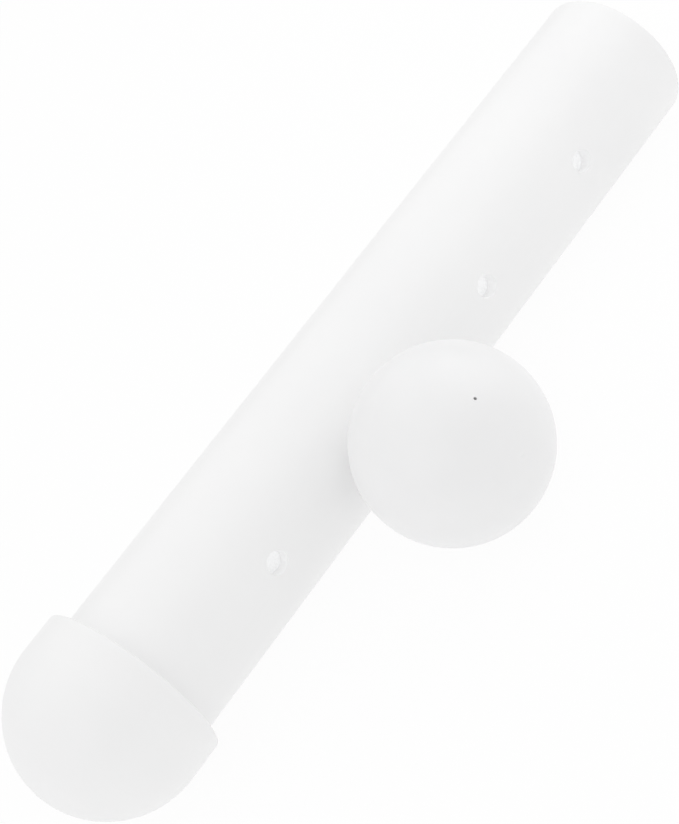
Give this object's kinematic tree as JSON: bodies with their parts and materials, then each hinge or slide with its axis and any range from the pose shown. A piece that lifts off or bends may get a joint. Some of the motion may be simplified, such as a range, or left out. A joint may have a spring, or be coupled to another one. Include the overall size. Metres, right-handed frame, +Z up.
{
  "type": "training bumper",
  "caption": "Floating dog training bumper: hard white tube with a domed nose cap, a flush tail plug with a line hole, a row of scent ports and a ball that spins on a side axle.",
  "frame": {"origin": "middle of the object's box in X and Y, at its lowest point in Z; the tube's axis is parallel to X at y = +25.45 mm, z = 30.15 mm", "axes": "+X along the tube from nose to tail, -Y towards the ball along its axle, +Z up"},
  "size_m": [0.3048, 0.1216, 0.0603],
  "materials": {
    "tube_plastic": "satin gloss white moulded plastic",
    "cap_plastic": "satin white moulded plastic",
    "ball_plastic": "satin white moulded plastic",
    "fitting_plastic": "fine satin white nylon",
    "foam": "closed-cell foam, pale grey",
    "seal_rubber": "soft translucent silicone rubber"
  },
  "bodies": {
    "bumper": {"body_tube": "tube_plastic", "float_core_1": "foam", "float_core_2": "foam", "float_core_3": "foam", "axle": "fitting_plastic", "front_saddle": "fitting_plastic", "rear_saddle": "fitting_plastic", "cap_nut": "fitting_plastic", "thrust_washer": "fitting_plastic", "inner_washer": "fitting_plastic", "ball_retainer": "fitting_plastic"},
    "nose": {"nose_cap": "cap_plastic", "nose_pad": "foam", "nose_seal": "seal_rubber"},
    "tail": {"tail_plug": "tube_plastic", "tail_seal": "seal_rubber", "line_grommet": "fitting_plastic"},
    "ball": {"ball_hub": "fitting_plastic", "ball_shell_inner": "ball_plastic", "ball_shell_outer": "ball_plastic"}
  },
  "joints": [
    {"name": "ball_spin", "type": "hinge", "parent": "bumper", "child": "ball", "pos_m": [-0.01165, -0.03135, 0.03015], "axis": [0, -1, 0], "continuous": true},
    {"name": "nose_pull", "type": "slide", "parent": "bumper", "child": "nose", "axis": [-1, 0, 0], "range_m": [0, 0.018]},
    {"name": "tail_pull", "type": "slide", "parent": "bumper", "child": "tail", "axis": [1, 0, 0], "range_m": [0, 0.02]}
  ]
}
